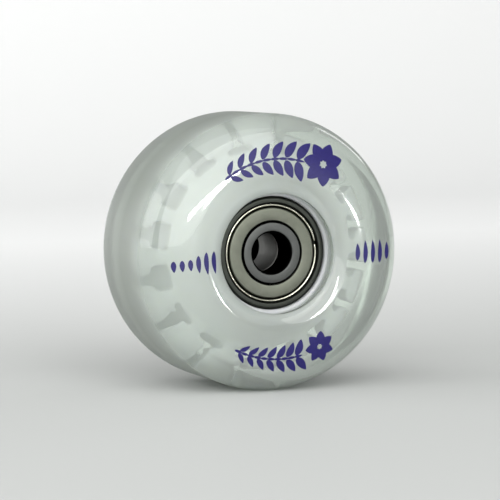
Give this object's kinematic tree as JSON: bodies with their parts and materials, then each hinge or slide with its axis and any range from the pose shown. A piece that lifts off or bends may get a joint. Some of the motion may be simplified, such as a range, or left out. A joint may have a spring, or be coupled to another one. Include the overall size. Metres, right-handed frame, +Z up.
{
  "type": "roller wheel",
  "caption": "Clear urethane roller wheel with a milky toothed core on shielded ball bearings, and a magnet, coil and lamps inside that light it as it turns.",
  "frame": {"origin": "centre of the wheel: on the axle's line, midway between the two side faces", "axes": "+Y along the axle, away from the printed face; +Z up; +X completes a right-handed frame"},
  "size_m": [0.054, 0.032, 0.054],
  "materials": {
    "clear_urethane": "gloss",
    "milky_core": "satin",
    "bearing_steel": "satin",
    "shield_steel": "satin",
    "wire_steel": "gloss",
    "ball_steel": "polished",
    "cage_steel": "satin",
    "spacer_metal": "satin",
    "magnet_black": "matte",
    "pole_steel": "satin",
    "bobbin_plastic": "matte",
    "copper_wire": "gloss",
    "board_green": "satin",
    "lamp_lens": "gloss",
    "print_ink": "satin"
  },
  "bodies": {
    "axle_side": {"front_inner_ring": "bearing_steel", "rear_inner_ring": "bearing_steel", "spacer_sleeve": "spacer_metal", "ring_magnet": "magnet_black"},
    "wheel": {"urethane_tyre": "clear_urethane", "toothed_core": "milky_core", "front_outer_ring": "bearing_steel", "front_outward_shield": "shield_steel", "front_inward_shield": "shield_steel", "front_outward_snap_ring": "wire_steel", "front_inward_snap_ring": "wire_steel", "rear_outer_ring": "bearing_steel", "rear_outward_shield": "shield_steel", "rear_inward_shield": "shield_steel", "rear_outward_snap_ring": "wire_steel", "rear_inward_snap_ring": "wire_steel", "front_pole_plate": "pole_steel", "rear_pole_plate": "pole_steel", "coil_bobbin": "bobbin_plastic", "copper_winding": "copper_wire", "coil_lead_a": "copper_wire", "coil_lead_b": "copper_wire", "lamp_board": "board_green", "lamp_1": "lamp_lens", "lamp_2": "lamp_lens", "lamp_3": "lamp_lens", "lamp_4": "lamp_lens", "lamp_5": "lamp_lens", "lamp_6": "lamp_lens", "cartridge_end_ring": "bobbin_plastic"},
    "front_ball_set": {"front_outward_cage_half": "cage_steel", "front_inward_cage_half": "cage_steel", "front_ball_1": "ball_steel", "front_ball_2": "ball_steel", "front_ball_3": "ball_steel", "front_ball_4": "ball_steel", "front_ball_5": "ball_steel", "front_ball_6": "ball_steel", "front_ball_7": "ball_steel"},
    "rear_ball_set": {"rear_outward_cage_half": "cage_steel", "rear_inward_cage_half": "cage_steel", "rear_ball_1": "ball_steel", "rear_ball_2": "ball_steel", "rear_ball_3": "ball_steel", "rear_ball_4": "ball_steel", "rear_ball_5": "ball_steel", "rear_ball_6": "ball_steel", "rear_ball_7": "ball_steel"}
  },
  "joints": [
    {"name": "wheel_spin", "type": "hinge", "parent": "axle_side", "child": "wheel", "pos_m": [0, 0, 0], "axis": [0, 1, 0], "continuous": true},
    {"name": "front_ball_orbit", "type": "hinge", "parent": "axle_side", "child": "front_ball_set", "pos_m": [0, -0.0085, 0], "axis": [0, 1, 0], "continuous": true},
    {"name": "rear_ball_orbit", "type": "hinge", "parent": "axle_side", "child": "rear_ball_set", "pos_m": [0, 0.0085, 0], "axis": [0, 1, 0], "continuous": true}
  ],
  "couplings": [
    {"joint": "front_ball_orbit", "follows": "wheel_spin", "ratio": 0.6313},
    {"joint": "rear_ball_orbit", "follows": "wheel_spin", "ratio": 0.6313}
  ]
}
